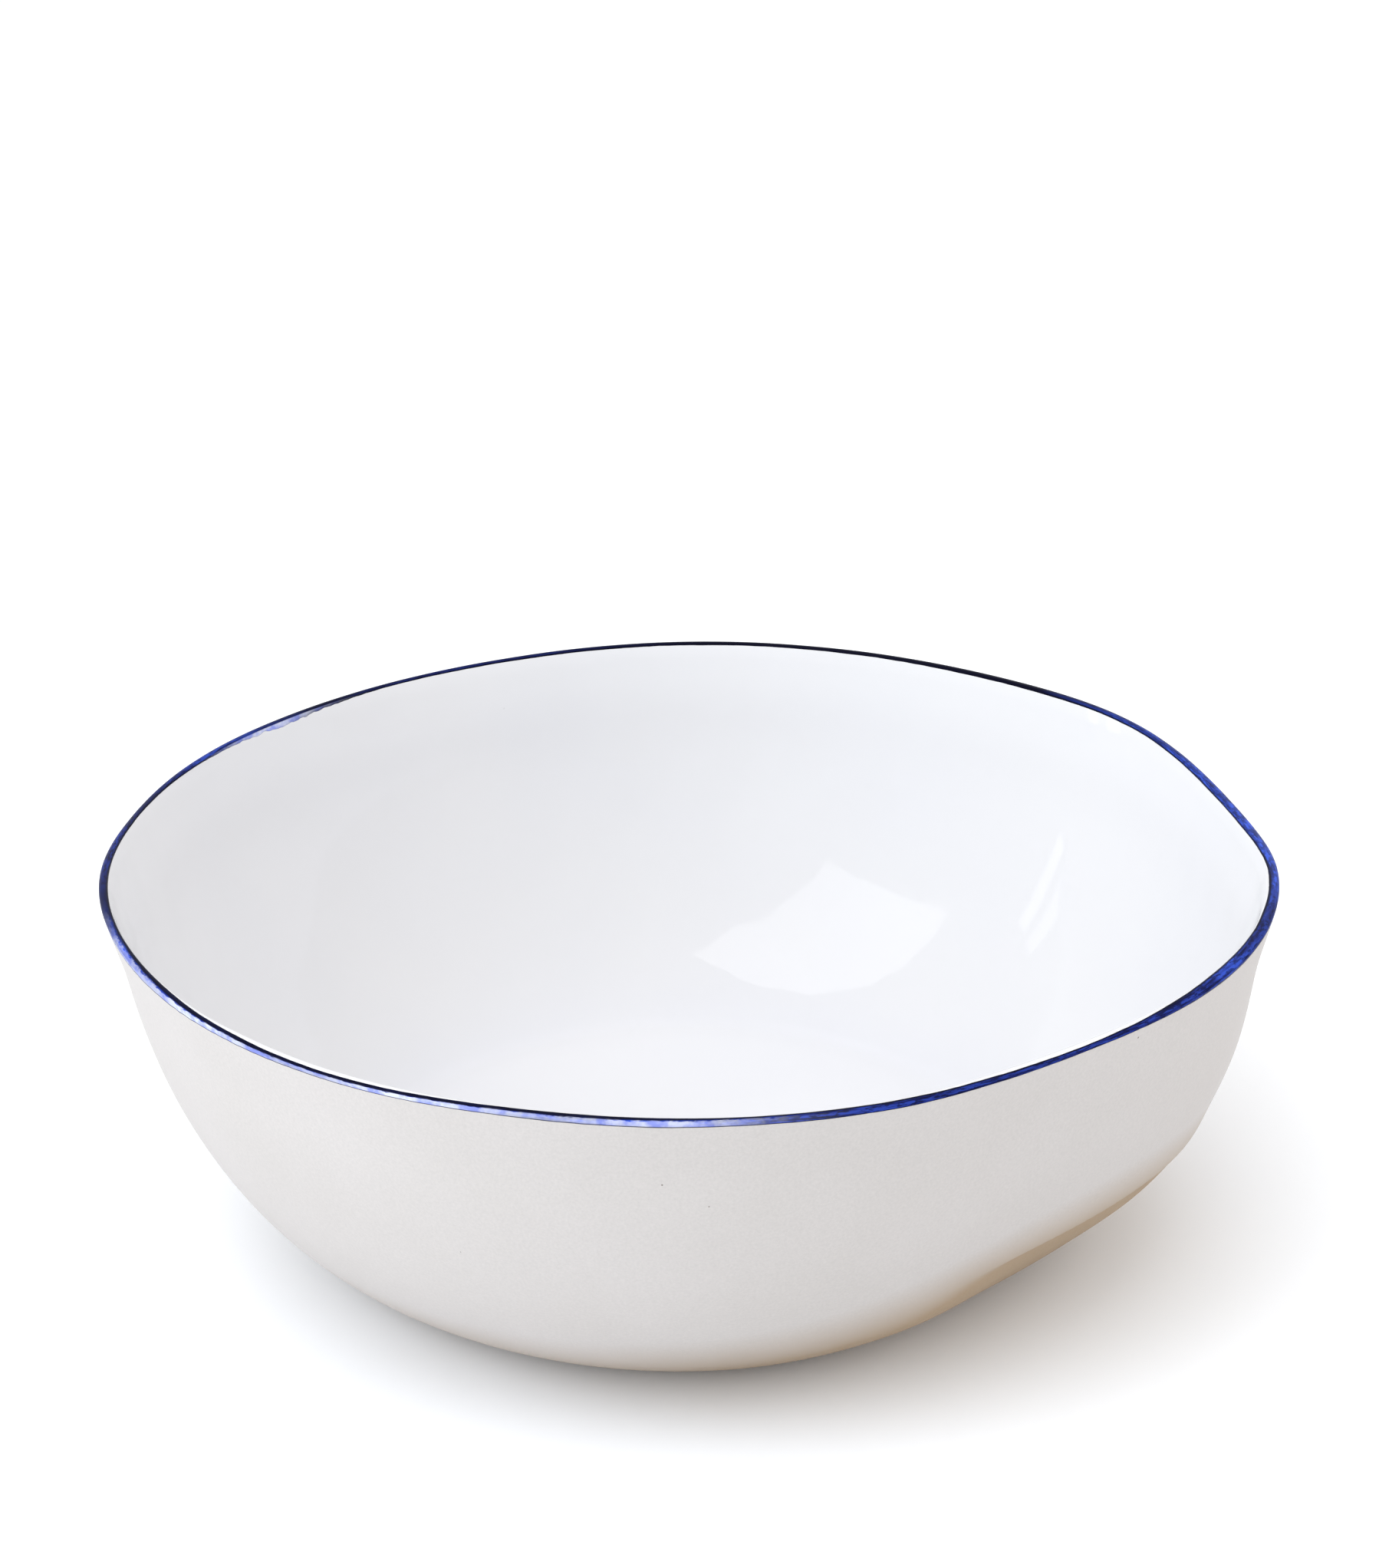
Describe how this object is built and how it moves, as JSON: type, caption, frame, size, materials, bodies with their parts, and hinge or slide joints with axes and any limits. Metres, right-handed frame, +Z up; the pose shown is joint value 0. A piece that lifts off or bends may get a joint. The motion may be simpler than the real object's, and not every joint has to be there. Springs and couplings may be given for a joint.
{
  "type": "porcelain serving bowl",
  "caption": "Hand-formed porcelain serving bowl, matte outside and glazed inside, with a painted line on its uneven lip.",
  "frame": {"origin": "middle of the flat base, on the surface that the bowl rests on", "axes": "+Z up through the mouth of the bowl; the front faces -Y, and +X is to the right seen from the front"},
  "size_m": [0.2776, 0.2815, 0.0959],
  "materials": {
    "biscuit_porcelain": "fired unglazed porcelain, smooth matte with a very fine grain",
    "clear_glaze": "clear gloss glaze over white porcelain",
    "cobalt_line": "brushed cobalt blue, glossy, darker where it pooled"
  },
  "bodies": {
    "root": {"porcelain_body": "biscuit_porcelain", "inner_glaze": "clear_glaze", "rim_line": "cobalt_line"}
  },
  "joints": []
}
